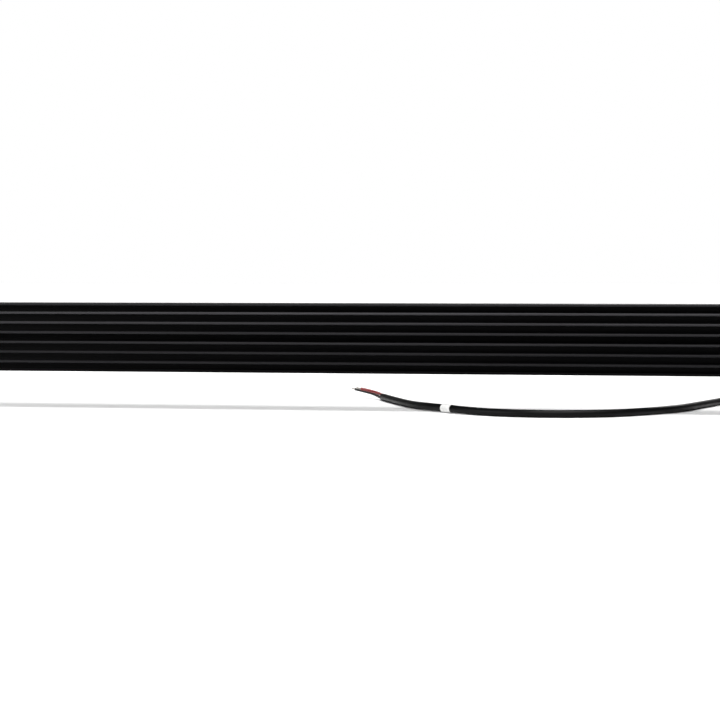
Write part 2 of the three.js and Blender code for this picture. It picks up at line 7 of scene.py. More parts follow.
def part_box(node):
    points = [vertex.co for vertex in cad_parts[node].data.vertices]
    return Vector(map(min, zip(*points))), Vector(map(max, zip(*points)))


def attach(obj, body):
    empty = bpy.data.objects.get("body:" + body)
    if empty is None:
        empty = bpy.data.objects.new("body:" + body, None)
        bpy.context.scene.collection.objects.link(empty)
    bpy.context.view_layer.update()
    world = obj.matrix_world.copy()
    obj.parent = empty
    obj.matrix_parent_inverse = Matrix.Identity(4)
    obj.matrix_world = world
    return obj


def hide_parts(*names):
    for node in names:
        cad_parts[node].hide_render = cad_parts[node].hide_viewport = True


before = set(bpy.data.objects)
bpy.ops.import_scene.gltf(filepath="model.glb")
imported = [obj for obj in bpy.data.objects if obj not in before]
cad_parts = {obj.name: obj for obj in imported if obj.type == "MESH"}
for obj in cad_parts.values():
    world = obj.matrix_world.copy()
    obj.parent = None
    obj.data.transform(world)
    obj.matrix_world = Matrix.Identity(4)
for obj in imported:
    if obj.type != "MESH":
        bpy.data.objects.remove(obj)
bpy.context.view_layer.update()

bl_info = {
    "name": "LED light bar",
    "version": (1, 0, 0),
    "blender": (4, 5, 0),
    "location": "3D View > Sidebar > Light bar",
    "description": "Builds the finish of a double-row LED light bar around its measured frame",
    "category": "Object",
}

# Places in the frame, all in metres, with X along the bar, the lens facing -Y and Z up
HOUSING_LOW, HOUSING_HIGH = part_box("housing")
BAR_MIDDLE_Z = (HOUSING_LOW.z + HOUSING_HIGH.z) / 2
ENDS = {"left": -1, "right": 1}
MODULES = 6
CELLS = 8
ROW_OFFSET = 0.0145
FIN_ARC_RADIUS = 0.150
GLAND_LOW, GLAND_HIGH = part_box("gland_nut")
GLAND_Y = (GLAND_LOW.y + GLAND_HIGH.y) / 2
GLAND_Z = (GLAND_LOW.z + GLAND_HIGH.z) / 2

# The cord's route along its own middle, from inside the gland to its bare end
CORD_REST_Z = 0.00435
BAND_REST_Z = 0.005
CORD_ROUTE = [
    (-0.640, GLAND_Y, GLAND_Z), (-0.668, GLAND_Y, GLAND_Z), (-0.692, GLAND_Y, GLAND_Z),
    (-0.714, GLAND_Y, 0.1008), (-0.7305, GLAND_Y, 0.085), (-0.737, -0.006, 0.0625),
    (-0.737, -0.0065, 0.050), (-0.737, -0.0125, 0.0275), (-0.737, -0.029, 0.0109),
    (-0.736, -0.052, 0.0049), (-0.735, -0.068, CORD_REST_Z), (-0.733, -0.092, CORD_REST_Z),
    (-0.731, -0.124, CORD_REST_Z), (-0.726, -0.151, CORD_REST_Z), (-0.713, -0.175, CORD_REST_Z),
    (-0.692, -0.193, CORD_REST_Z), (-0.666, -0.203, CORD_REST_Z), (-0.630, -0.206, CORD_REST_Z),
    (-0.560, -0.206, CORD_REST_Z), (-0.500, -0.205, CORD_REST_Z), (-0.460, -0.199, CORD_REST_Z),
    (-0.428, -0.182, CORD_REST_Z), (-0.408, -0.160, CORD_REST_Z), (-0.397, -0.136, CORD_REST_Z),
    (-0.377, -0.082, CORD_REST_Z), (-0.350, -0.015, CORD_REST_Z), (-0.315, 0.037, CORD_REST_Z),
    (-0.281, 0.069, CORD_REST_Z), (-0.248, 0.084, CORD_REST_Z), (-0.214, 0.090, CORD_REST_Z),
    (-0.180, 0.087, CORD_REST_Z), (-0.145, 0.073, CORD_REST_Z), (-0.107, 0.044, BAND_REST_Z),
    (-0.076, 0.009, BAND_REST_Z), (-0.053, -0.028, CORD_REST_Z), (-0.030, -0.078, CORD_REST_Z),
    (-0.013, -0.120, CORD_REST_Z), (0.0025, -0.161, CORD_REST_Z),
]
RED_ROUTE = [(0.0022, -0.1600, 0.0062), (0.0045, -0.1660, 0.0065), (0.009, -0.1755, 0.0074),
             (0.021, -0.1865, 0.0098), (0.034, -0.1885, 0.0124)]
BLACK_ROUTE = [(0.0022, -0.1600, 0.0025), (0.0044, -0.1665, 0.0025), (0.010, -0.1785, 0.0034),
               (0.022, -0.1918, 0.0068), (0.042, -0.1935, 0.0116)]
BAND_CENTRE = (-0.0977, 0.0344, 0.005)
BAND_HALF_LENGTH = 0.006

# Bare ends of the cores
WIRES = 7
WIRE_STATIONS = 9
WIRES_LONGEST = 0.0098
WIRE_STAGGER = 0.0006           # one wire's end stands back from the next by this much
WIRES_INSIDE = 0.0015           # how far the wires start inside the insulation

# Screws: head radius, head height, shank radius, half of the socket's corner width
CAP_SCREW = (0.0035, 0.0038, 0.002, 0.0016)
PIVOT_BOLT = (0.0065, 0.008, 0.004, 0.0034)
LOCK_SCREW = (0.005, 0.006, 0.003, 0.0028)
PIVOT_BORE = 0.0043             # radius of the hole in each washer on a pivot bolt
LOCK_BORE = 0.0033

# One LED and its board
BOARD_THICKNESS = 0.0016
LED_HALF_WIDTH = 0.00172
LED_HEIGHT = 0.0006
DOME_RADIUS = 0.0014
REFLECTOR_WALL = 0.0006

# Camera
CAMERA_PLACE = (-0.3339, 2.1154, 0.152)
CAMERA_YAW = math.radians(9.1)
CAMERA_PITCH = math.radians(2.56)
CAMERA_LENS = 95.0              # in millimetres, on a 36 mm sensor


# Settings --------------------------------------------------------------------------------------

class LIGHTBAR_PG_sizes(bpy.types.PropertyGroup):
    """Sizes of the fine shapes that the frame leaves open"""
    edge_round: bpy.props.FloatProperty(
        name="Edge rounding", description="Radius on the cast and bent metal edges",
        default=0.0005, min=0.0, unit="LENGTH")
    fin_round: bpy.props.FloatProperty(
        name="Fin rounding", description="Rounding between the facets of each fin's tip",
        default=0.00022, min=0.0, unit="LENGTH")
    cup_front: bpy.props.FloatProperty(
        name="Cup mouth", description="Radius of a reflector cup at its mouth",
        default=0.0121, min=0.005, unit="LENGTH")
    cup_back: bpy.props.FloatProperty(
        name="Cup base", description="Radius of a reflector cup round its emitter",
        default=0.0037, min=0.002, unit="LENGTH")
    cord_diameter: bpy.props.FloatProperty(
        name="Cord diameter", description="Outside of the cord's jacket",
        default=0.0085, min=0.003, unit="LENGTH")
    core_radius: bpy.props.FloatProperty(
        name="Core radius", description="Outside of one insulated core",
        default=0.00178, min=0.0005, unit="LENGTH")
    strand_radius: bpy.props.FloatProperty(
        name="Strand radius", description="One wire of a core's stranded end",
        default=0.00034, min=0.0001, unit="LENGTH")


class LIGHTBAR_PG_colours(bpy.types.PropertyGroup):
    """Colours of the finishes"""
    anodised: bpy.props.FloatVectorProperty(
        name="Anodised black", description="Housing extrusion", subtype="COLOR",
        default=(0.0021, 0.0021, 0.0024), min=0.0, max=1.0)
    # Painted light on the housing's faces that look up, down or forward
    lit_face: bpy.props.FloatVectorProperty(
        name="Painted light on open faces", description="Open flat faces of the extrusion", subtype="COLOR",
        default=(0.0085, 0.0085, 0.009), min=0.0, max=1.0)
    # Painted highlight on the fin tips, set in the base colour
    tip_highlight: bpy.props.FloatVectorProperty(
        name="Painted tip highlight", description="Outer rim of the fins", subtype="COLOR",
        default=(0.040, 0.039, 0.042), min=0.0, max=1.0)
    powder: bpy.props.FloatVectorProperty(
        name="Powder coat", description="End caps and feet", subtype="COLOR",
        default=(0.0052, 0.0052, 0.0055), min=0.0, max=1.0)
    jacket: bpy.props.FloatVectorProperty(
        name="Cord jacket", description="Outer sheath of the cord", subtype="COLOR",
        default=(0.0018, 0.0018, 0.0020), min=0.0, max=1.0)
    core_red: bpy.props.FloatVectorProperty(
        name="Red core", description="Insulation of the positive core", subtype="COLOR",
        default=(0.20, 0.018, 0.018), min=0.0, max=1.0)
    phosphor: bpy.props.FloatVectorProperty(
        name="Phosphor", description="Emitting face of each LED", subtype="COLOR",
        default=(0.86, 0.62, 0.05), min=0.0, max=1.0)
    floor: bpy.props.FloatVectorProperty(
        name="Floor", description="Studio floor", subtype="COLOR",
        default=(0.86, 0.86, 0.86), min=0.0, max=1.0)


# Finishes --------------------------------------------------------------------------------------

def socket_values(shader, values):
    for name, value in values.items():
        shader.inputs[name].default_value = value


def new_finish(name, colour, roughness, **values):
    """A named material with its Principled shader set and ready for detail."""
    material = bpy.data.materials.get(name)
    if material:
        return material, None
    material = bpy.data.materials.new(name)
    material.use_nodes = True
    shader = material.node_tree.nodes["Principled BSDF"]
    shader.inputs["Base Color"].default_value = (*colour, 1.0)
    shader.inputs["Roughness"].default_value = roughness
    socket_values(shader, {key.replace("_", " "): value for key, value in values.items()})
    return material, shader


def noise(tree, scale, stretch=(1.0, 1.0, 1.0), detail=3.0):
    """Noise in the object's own space, drawn out along the axes with a small stretch value."""
    nodes, links = tree.nodes, tree.links
    place = nodes.new("ShaderNodeTexCoord")
    mapping = nodes.new("ShaderNodeMapping")
    mapping.inputs["Scale"].default_value = stretch
    texture = nodes.new("ShaderNodeTexNoise")
    texture.inputs["Scale"].default_value = scale
    texture.inputs["Detail"].default_value = detail
    links.new(place.outputs["Object"], mapping.inputs["Vector"])
    links.new(mapping.outputs["Vector"], texture.inputs["Vector"])
    return texture


def vary_roughness(tree, shader, texture, low, high):
    spread = tree.nodes.new("ShaderNodeMapRange")
    spread.inputs["From Min"].default_value = 0.3
    spread.inputs["From Max"].default_value = 0.7
    spread.inputs["To Min"].default_value = low
    spread.inputs["To Max"].default_value = high
    tree.links.new(texture.outputs["Fac"], spread.inputs["Value"])
    tree.links.new(spread.outputs["Result"], shader.inputs["Roughness"])


def vary_colour(tree, shader, texture, dark, light):
    ramp = tree.nodes.new("ShaderNodeValToRGB")
    ramp.color_ramp.elements[0].position = 0.3
    ramp.color_ramp.elements[0].color = (*dark, 1.0)
    ramp.color_ramp.elements[1].position = 0.7
    ramp.color_ramp.elements[1].color = (*light, 1.0)
    tree.links.new(texture.outputs["Fac"], ramp.inputs["Fac"])
    tree.links.new(ramp.outputs["Color"], shader.inputs["Base Color"])
    return ramp


def add_bump(tree, shader, texture, depth, strength=1.0):
    bump = tree.nodes.new("ShaderNodeBump")
    bump.inputs["Strength"].default_value = strength
    bump.inputs["Distance"].default_value = depth
    tree.links.new(texture.outputs["Fac"], bump.inputs["Height"])
    tree.links.new(bump.outputs["Normal"], shader.inputs["Normal"])


def scaled(colour, factor):
    return tuple(channel * factor for channel in colour)


def tip_highlight_mask(tree):
    """Share of the painted highlight: only on the outer rim of the fins, and most on the upper fins."""
    nodes, links = tree.nodes, tree.links
    place = nodes.new("ShaderNodeTexCoord")
    across = nodes.new("ShaderNodeMapping")
    across.inputs["Location"].default_value = (0.0, FIN_ARC_RADIUS - HOUSING_HIGH.y, -BAR_MIDDLE_Z)
    across.inputs["Scale"].default_value = (0.0, 1.0, 1.0)
    reach = nodes.new("ShaderNodeVectorMath")
    reach.operation = "LENGTH"
    rim = nodes.new("ShaderNodeMapRange")
    rim.inputs["From Min"].default_value = FIN_ARC_RADIUS - 0.0030
    rim.inputs["From Max"].default_value = FIN_ARC_RADIUS - 0.0012
    links.new(place.outputs["Object"], across.inputs["Vector"])
    links.new(across.outputs["Vector"], reach.inputs[0])
    links.new(reach.outputs["Value"], rim.inputs["Value"])
    axes = nodes.new("ShaderNodeSeparateXYZ")
    height = nodes.new("ShaderNodeMapRange")
    height.inputs["From Min"].default_value = HOUSING_LOW.z
    height.inputs["From Max"].default_value = HOUSING_HIGH.z
    highlight_share = nodes.new("ShaderNodeValToRGB")
    stops = highlight_share.color_ramp.elements
    stops[0].position, stops[0].color = 0.08, (0.0, 0.0, 0.0, 1.0)
    stops[1].position, stops[1].color = 0.10, (0.31, 0.31, 0.31, 1.0)
    # More painted highlight on the upper fins than on the lower ones
    for position, share in ((0.30, 0.33), (0.43, 0.42), (0.58, 0.43), (0.71, 0.65), (0.86, 0.95),
                            (0.95, 0.4)):
        stops.new(position).color = (share, share, share, 1.0)
    links.new(place.outputs["Object"], axes.inputs["Vector"])
    links.new(axes.outputs["Z"], height.inputs["Value"])
    links.new(height.outputs["Result"], highlight_share.inputs["Fac"])
    both = nodes.new("ShaderNodeMath")
    both.operation = "MULTIPLY"
    links.new(rim.outputs["Result"], both.inputs[0])
    links.new(highlight_share.outputs["Color"], both.inputs[1])
    return both.outputs["Value"]


def lit_face_mask(tree):
    """One on faces that look up, down or forward, where painted light lightens the anodising; faces that
    look back into the fin gaps or along the bar keep the plain darker colour.
    """
    nodes, links = tree.nodes, tree.links
    place = nodes.new("ShaderNodeTexCoord")
    axes = nodes.new("ShaderNodeSeparateXYZ")
    links.new(place.outputs["Normal"], axes.inputs["Vector"])
    upright = nodes.new("ShaderNodeMath")
    upright.operation = "ABSOLUTE"
    links.new(axes.outputs["Z"], upright.inputs[0])
    forward = nodes.new("ShaderNodeMath")
    forward.operation = "MULTIPLY"
    forward.inputs[1].default_value = -1.0
    links.new(axes.outputs["Y"], forward.inputs[0])
    more = nodes.new("ShaderNodeMath")
    more.operation = "MAXIMUM"
    links.new(upright.outputs["Value"], more.inputs[0])
    links.new(forward.outputs["Value"], more.inputs[1])
    step = nodes.new("ShaderNodeMapRange")
    step.inputs["From Min"].default_value = 0.85
    step.inputs["From Max"].default_value = 0.97
    links.new(more.outputs["Value"], step.inputs["Value"])
    return step.outputs["Result"]


def mixed(tree, factor, first, second):
    blend = tree.nodes.new("ShaderNodeMix")
    blend.data_type = "RGBA"
    tree.links.new(factor, blend.inputs["Factor"])
    tree.links.new(first, blend.inputs["A"])
    tree.links.new(second, blend.inputs["B"])
    return blend.outputs["Result"]


def anodised_black():
    """Black anodised extrusion: faint die lines along its length, painted highlights on the fin tips and
    painted light on faces that look up, down or forward.
    """
    colours = bpy.context.scene.lightbar_colours
    colour, tip_highlight = colours.anodised, colours.tip_highlight
    material, shader = new_finish("anodised_black", colour, 0.4, Specular_IOR_Level=0.03)
    if shader:
        tree = material.node_tree
        lines = noise(tree, 900.0, (0.004, 1.0, 1.0), 2.0)
        blotch = noise(tree, 14.0, (0.35, 1.0, 1.0), 3.0)
        vary_roughness(tree, shader, lines, 0.36, 0.46)
        plain = vary_colour(tree, shader, blotch, scaled(colour, 0.85), scaled(colour, 1.3))
        # Painted light: faces that look up, down or forward get this lighter colour
        lit_face = vary_colour(tree, shader, lines, scaled(colours.lit_face, 0.8), scaled(colours.lit_face, 1.25))
        # Painted highlight colour for the fin tips
        highlit = vary_colour(tree, shader, lines, scaled(tip_highlight, 0.8), scaled(tip_highlight, 1.2))
        sides = mixed(tree, lit_face_mask(tree), plain.outputs["Color"], lit_face.outputs["Color"])
        whole = mixed(tree, tip_highlight_mask(tree), sides, highlit.outputs["Color"])
        tree.links.new(whole, shader.inputs["Base Color"])
        add_bump(tree, shader, lines, 0.00001, 0.35)
    return material


def powder_coat():
    """Fine-textured black powder coat over cast or bent metal."""
    colour = bpy.context.scene.lightbar_colours.powder
    material, shader = new_finish("powder_coat", colour, 0.5, Specular_IOR_Level=0.25)
    if shader:
        tree = material.node_tree
        grain = noise(tree, 1500.0, detail=2.0)
        cloud = noise(tree, 60.0)
        vary_roughness(tree, shader, cloud, 0.44, 0.56)
        vary_colour(tree, shader, cloud, scaled(colour, 0.85), scaled(colour, 1.25))
        add_bump(tree, shader, grain, 0.00006, 0.6)
    return material


def stainless():
    """Plain stainless fasteners, lightly handled."""
    colour = (0.40, 0.40, 0.395)
    material, shader = new_finish("stainless", colour, 0.32, Metallic=1.0)
    if shader:
        tree = material.node_tree
        smudge = noise(tree, 240.0)
        turned = noise(tree, 2400.0, (0.15, 1.0, 1.0), 1.0)
        vary_roughness(tree, shader, smudge, 0.2, 0.36)
        vary_colour(tree, shader, smudge, scaled(colour, 0.88), scaled(colour, 1.08))
        add_bump(tree, shader, turned, 0.00001, 0.4)
    return material


def black_oxide():
    """Blackened steel screws, brighter where a key has worn them."""
    colour = (0.035, 0.034, 0.033)
    material, shader = new_finish("black_oxide", colour, 0.34, Metallic=0.85)
    if shader:
        tree = material.node_tree
        wear = noise(tree, 420.0)
        vary_roughness(tree, shader, wear, 0.26, 0.44)
        vary_colour(tree, shader, wear, scaled(colour, 0.8), scaled(colour, 1.9))
        add_bump(tree, shader, wear, 0.00001, 0.4)
    return material


def seal_rubber():
    """Soft black seal rubber."""
    colour = (0.012, 0.012, 0.012)
    material, shader = new_finish("seal_rubber", colour, 0.78, Specular_IOR_Level=0.35)
    if shader:
        tree = material.node_tree
        grain = noise(tree, 700.0)
        vary_roughness(tree, shader, grain, 0.7, 0.86)
        vary_colour(tree, shader, grain, scaled(colour, 0.8), scaled(colour, 1.3))
        add_bump(tree, shader, grain, 0.00003, 0.5)
    return material


def moulded_nylon():
    """Moulded black nylon with a fine spark-eroded grain."""
    colour = (0.011, 0.011, 0.0115)
    material, shader = new_finish("moulded_nylon", colour, 0.46, Specular_IOR_Level=0.45)
    if shader:
        tree = material.node_tree
        grain = noise(tree, 1900.0, detail=2.0)
        cloud = noise(tree, 120.0)
        vary_roughness(tree, shader, cloud, 0.4, 0.54)
        vary_colour(tree, shader, cloud, scaled(colour, 0.85), scaled(colour, 1.25))
        add_bump(tree, shader, grain, 0.00003, 0.5)
    return material


def lens_sheet():
    """Clear polycarbonate, all but smooth."""
    material, shader = new_finish("lens_sheet", (0.97, 0.985, 1.0), 0.015,
                                  Transmission_Weight=1.0, IOR=1.5)
    if shader:
        tree = material.node_tree
        ripple = noise(tree, 24.0, (0.4, 1.0, 1.0), 1.0)
        vary_roughness(tree, shader, ripple, 0.01, 0.03)
    return material


def vacuum_chrome():
    """Bright chrome on moulded plastic, with the slight orange peel of the moulding."""
    colour = (0.55, 0.555, 0.565)
    material, shader = new_finish("vacuum_chrome", colour, 0.07, Metallic=1.0)
    if shader:
        tree = material.node_tree
        peel = noise(tree, 320.0, detail=1.0)
        vary_roughness(tree, shader, peel, 0.05, 0.11)
        vary_colour(tree, shader, peel, scaled(colour, 0.97), scaled(colour, 1.02))
        add_bump(tree, shader, peel, 0.00001, 0.35)
    return material


def board_white():
    """White solder mask over the copper of an LED board."""
    colour = (0.78, 0.78, 0.75)
    material, shader = new_finish("board_white", colour, 0.42)
    if shader:
        tree = material.node_tree
        mask = noise(tree, 180.0)
        vary_roughness(tree, shader, mask, 0.36, 0.5)
        vary_colour(tree, shader, mask, scaled(colour, 0.95), scaled(colour, 1.04))
        add_bump(tree, shader, mask, 0.00002, 0.3)
    return material


def board_green():
    """Green solder mask of the driver boards."""
    colour = (0.012, 0.13, 0.05)
    material, shader = new_finish("board_green", colour, 0.38)
    if shader:
        tree = material.node_tree
        mask = noise(tree, 160.0)
        vary_roughness(tree, shader, mask, 0.3, 0.46)
        vary_colour(tree, shader, mask, scaled(colour, 0.75), scaled(colour, 1.3))
        add_bump(tree, shader, mask, 0.00002, 0.3)
    return material


def led_ceramic():
    """Pale ceramic body of an LED."""
    colour = (0.72, 0.71, 0.66)
    material, shader = new_finish("led_ceramic", colour, 0.5)
    if shader:
        tree = material.node_tree
        grain = noise(tree, 900.0)
        vary_roughness(tree, shader, grain, 0.44, 0.56)
        vary_colour(tree, shader, grain, scaled(colour, 0.95), scaled(colour, 1.04))
    return material


def phosphor_yellow():
    """Yellow phosphor under an LED's silicone dome."""
    colour = bpy.context.scene.lightbar_colours.phosphor
    material, shader = new_finish("phosphor_yellow", colour, 0.3, Coat_Weight=0.8,
                                  Coat_Roughness=0.06)
    if shader:
        tree = material.node_tree
        grain = noise(tree, 1600.0)
        vary_roughness(tree, shader, grain, 0.25, 0.38)
        vary_colour(tree, shader, grain, scaled(colour, 0.9), scaled(colour, 1.08))
    return material


def cord_pvc():
    """Smooth black cord sheath, glossy, with a slight drawn ripple."""
    colour = bpy.context.scene.lightbar_colours.jacket
    material, shader = new_finish("cord_pvc", colour, 0.42, Specular_IOR_Level=0.1)
    if shader:
        tree = material.node_tree
        ripple = noise(tree, 95.0, detail=2.0)
        grain = noise(tree, 1300.0, detail=2.0)
        vary_roughness(tree, shader, ripple, 0.38, 0.46)
        vary_colour(tree, shader, ripple, scaled(colour, 0.8), scaled(colour, 1.4))
        add_bump(tree, shader, grain, 0.00002, 0.35)
    return material


def core_pvc(name, colour):
    """Smooth insulation of one core."""
    material, shader = new_finish(name, colour, 0.32)
    if shader:
        tree = material.node_tree
        ripple = noise(tree, 400.0)
        vary_roughness(tree, shader, ripple, 0.26, 0.42)
        vary_colour(tree, shader, ripple, scaled(colour, 0.82), scaled(colour, 1.15))
        add_bump(tree, shader, ripple, 0.00002, 0.3)
    return material


def tinned_strands():
    """Tinned copper strands, part bright and part dull."""
    colour = (0.45, 0.43, 0.40)
    material, shader = new_finish("tinned_strands", colour, 0.35, Metallic=1.0)
    if shader:
        tree = material.node_tree
        dull = noise(tree, 1500.0)
        vary_roughness(tree, shader, dull, 0.25, 0.5)
        vary_colour(tree, shader, dull, scaled(colour, 0.55), scaled(colour, 1.3))
    return material


def band_vinyl():
    """Thin white band wrapped round the cord."""
    colour = (0.66, 0.66, 0.65)
    material, shader = new_finish("band_vinyl", colour, 0.5)
    if shader:
        tree = material.node_tree
        crease = noise(tree, 260.0)
        vary_roughness(tree, shader, crease, 0.42, 0.6)
        vary_colour(tree, shader, crease, scaled(colour, 0.86), scaled(colour, 1.06))
        add_bump(tree, shader, crease, 0.00004, 0.5)
    return material


def studio_floor():
    """Seamless pale paper."""
    colour = bpy.context.scene.lightbar_colours.floor
    material, shader = new_finish("studio_floor", colour, 0.9, Specular_IOR_Level=0.1)
    if shader:
        tree = material.node_tree
        fibre = noise(tree, 9.0)
        vary_colour(tree, shader, fibre, scaled(colour, 0.995), scaled(colour, 1.005))
    return material


# Bench tools: each acts on one piece at a time ---------------------------------------------------

def deselect():
    if bpy.context.object and bpy.context.object.mode != "OBJECT":
        bpy.ops.object.mode_set(mode="OBJECT")
    bpy.ops.object.select_all(action="DESELECT")


def make_active(piece):
    deselect()
    piece.select_set(True)
    bpy.context.view_layer.objects.active = piece
    return piece


def settle(piece, name):
    """Names a new piece and moves its place into its mesh."""
    piece.name = name
    piece.data.name = name
    make_active(piece)
    bpy.ops.object.transform_apply(location=True, rotation=True, scale=True)
    return piece


def object_mode():
    bpy.ops.object.mode_set(mode="OBJECT")


def tidy_normals(piece):
    make_active(piece)
    bpy.ops.object.mode_set(mode="EDIT")
    bpy.ops.mesh.select_all(action="SELECT")
    bpy.ops.mesh.remove_doubles(threshold=0.000001)
    bpy.ops.mesh.normals_make_consistent(inside=False)
    object_mode()


def apply_modifier(piece, modifier):
    make_active(piece)
    bpy.ops.object.modifier_apply(modifier=modifier.name)


def round_edges(piece, width, segments=2, angle=30.0):
    bevel = piece.modifiers.new("round", "BEVEL")
    bevel.width = width
    bevel.segments = segments
    bevel.limit_method = "ANGLE"
    bevel.angle_limit = math.radians(angle)
    bevel.use_clamp_overlap = True
    apply_modifier(piece, bevel)


def smooth(piece, angle=35.0):
    make_active(piece)
    bpy.ops.object.shade_smooth_by_angle(angle=math.radians(angle))


def boolean(piece, tool, operation):
    step = piece.modifiers.new("fit", "BOOLEAN")
    step.operation = operation
    step.object = tool
    step.solver = "EXACT"
    apply_modifier(piece, step)
    mesh = tool.data
    bpy.data.objects.remove(tool)
    bpy.data.meshes.remove(mesh)
    return piece


def rod(name, radius, start, end, y, z, sides=48):
    """A round or many-sided bar along X between two stations."""
    deselect()
    bpy.ops.mesh.primitive_cylinder_add(
        vertices=sides, radius=radius, depth=abs(end - start),
        location=((start + end) / 2, y, z), rotation=(0.0, math.pi / 2, 0.0))
    return settle(bpy.context.object, name)


def block(name, low, high):
    deselect()
    bpy.ops.mesh.primitive_cube_add(size=1.0, location=(Vector(low) + Vector(high)) / 2)
    piece = bpy.context.object
    piece.scale = Vector(high) - Vector(low)
    return settle(piece, name)


def merged_copy(node, name):
    """A copy of a frame node's mesh with its loose triangles joined into whole faces."""
    deselect()
    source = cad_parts[node]
    piece = bpy.data.objects.new(name, source.data.copy())
    bpy.context.scene.collection.objects.link(piece)
    piece.data.name = name
    piece.data.materials.clear()
    make_active(piece)
    bpy.ops.object.mode_set(mode="EDIT")
    bpy.ops.mesh.select_all(action="SELECT")
    bpy.ops.mesh.customdata_custom_splitnormals_clear()
    bpy.ops.mesh.remove_doubles(threshold=0.000002)
    bpy.ops.mesh.dissolve_limited(angle_limit=math.radians(0.3))
    object_mode()
    return piece


def join(pieces, name):
    make_active(pieces[0])
    for piece in pieces[1:]:
        piece.select_set(True)
    bpy.ops.object.join()
    pieces[0].name = name
    pieces[0].data.name = name
    return pieces[0]


def copy_moved(piece, name, offset):
    """A second piece with its own mesh, moved by its mesh."""
    twin = bpy.data.objects.new(name, piece.data.copy())
    bpy.context.scene.collection.objects.link(twin)
    twin.data.name = name
    twin.data.transform(Matrix.Translation(offset))
    return twin


def fit_to_bar(piece, material, body, slot, *nodes):
    """Gives a finished piece its material, body and the nodes that it stands for."""
    if material:
        piece.data.materials.clear()
        piece.data.materials.append(material)
    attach(piece, body)
    if nodes:
        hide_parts(*nodes)
    return piece


def smooth_route(points, steps):
    """Evenly timed points on a centripetal curve through the given ones."""
    knots = [Vector(point) for point in points]
    ends = [2 * knots[0] - knots[1], *knots, 2 * knots[-1] - knots[-2]]
    route = []
    for index in range(len(knots) - 1):
        before, start, end, after = ends[index:index + 4]
        t1 = (start - before).length ** 0.5
        t2 = t1 + (end - start).length ** 0.5
        t3 = t2 + (after - end).length ** 0.5
        for step in range(steps):
            t = t1 + (t2 - t1) * step / steps
            a1 = before * ((t1 - t) / t1) + start * (t / t1)
            a2 = start * ((t2 - t) / (t2 - t1)) + end * ((t - t1) / (t2 - t1))
            a3 = end * ((t3 - t) / (t3 - t2)) + after * ((t - t2) / (t3 - t2))
            b1 = a1 * ((t2 - t) / t2) + a2 * (t / t2)
            b2 = a2 * ((t3 - t) / (t3 - t1)) + a3 * ((t - t1) / (t3 - t1))
            route.append(b1 * ((t2 - t) / (t2 - t1)) + b2 * ((t - t1) / (t2 - t1)))
    route.append(knots[-1])
    return route


def drawn_curve(name, route, radius, rings=6):
    """A round curve object along a route, with closed ends."""
    curve = bpy.data.curves.new(name, "CURVE")
    curve.dimensions = "3D"
    curve.bevel_depth = radius
    curve.bevel_resolution = rings
    curve.use_fill_caps = True
    spline = curve.splines.new("POLY")
    spline.points.add(len(route) - 1)
    for point, place in zip(spline.points, route):
        point.co = (*place, 1.0)
    piece = bpy.data.objects.new(name, curve)
    bpy.context.scene.collection.objects.link(piece)
    return piece


def as_mesh(piece):
    make_active(piece)
    bpy.ops.object.convert(target="MESH")
    return bpy.context.object


# Stage -----------------------------------------------------------------------------------------

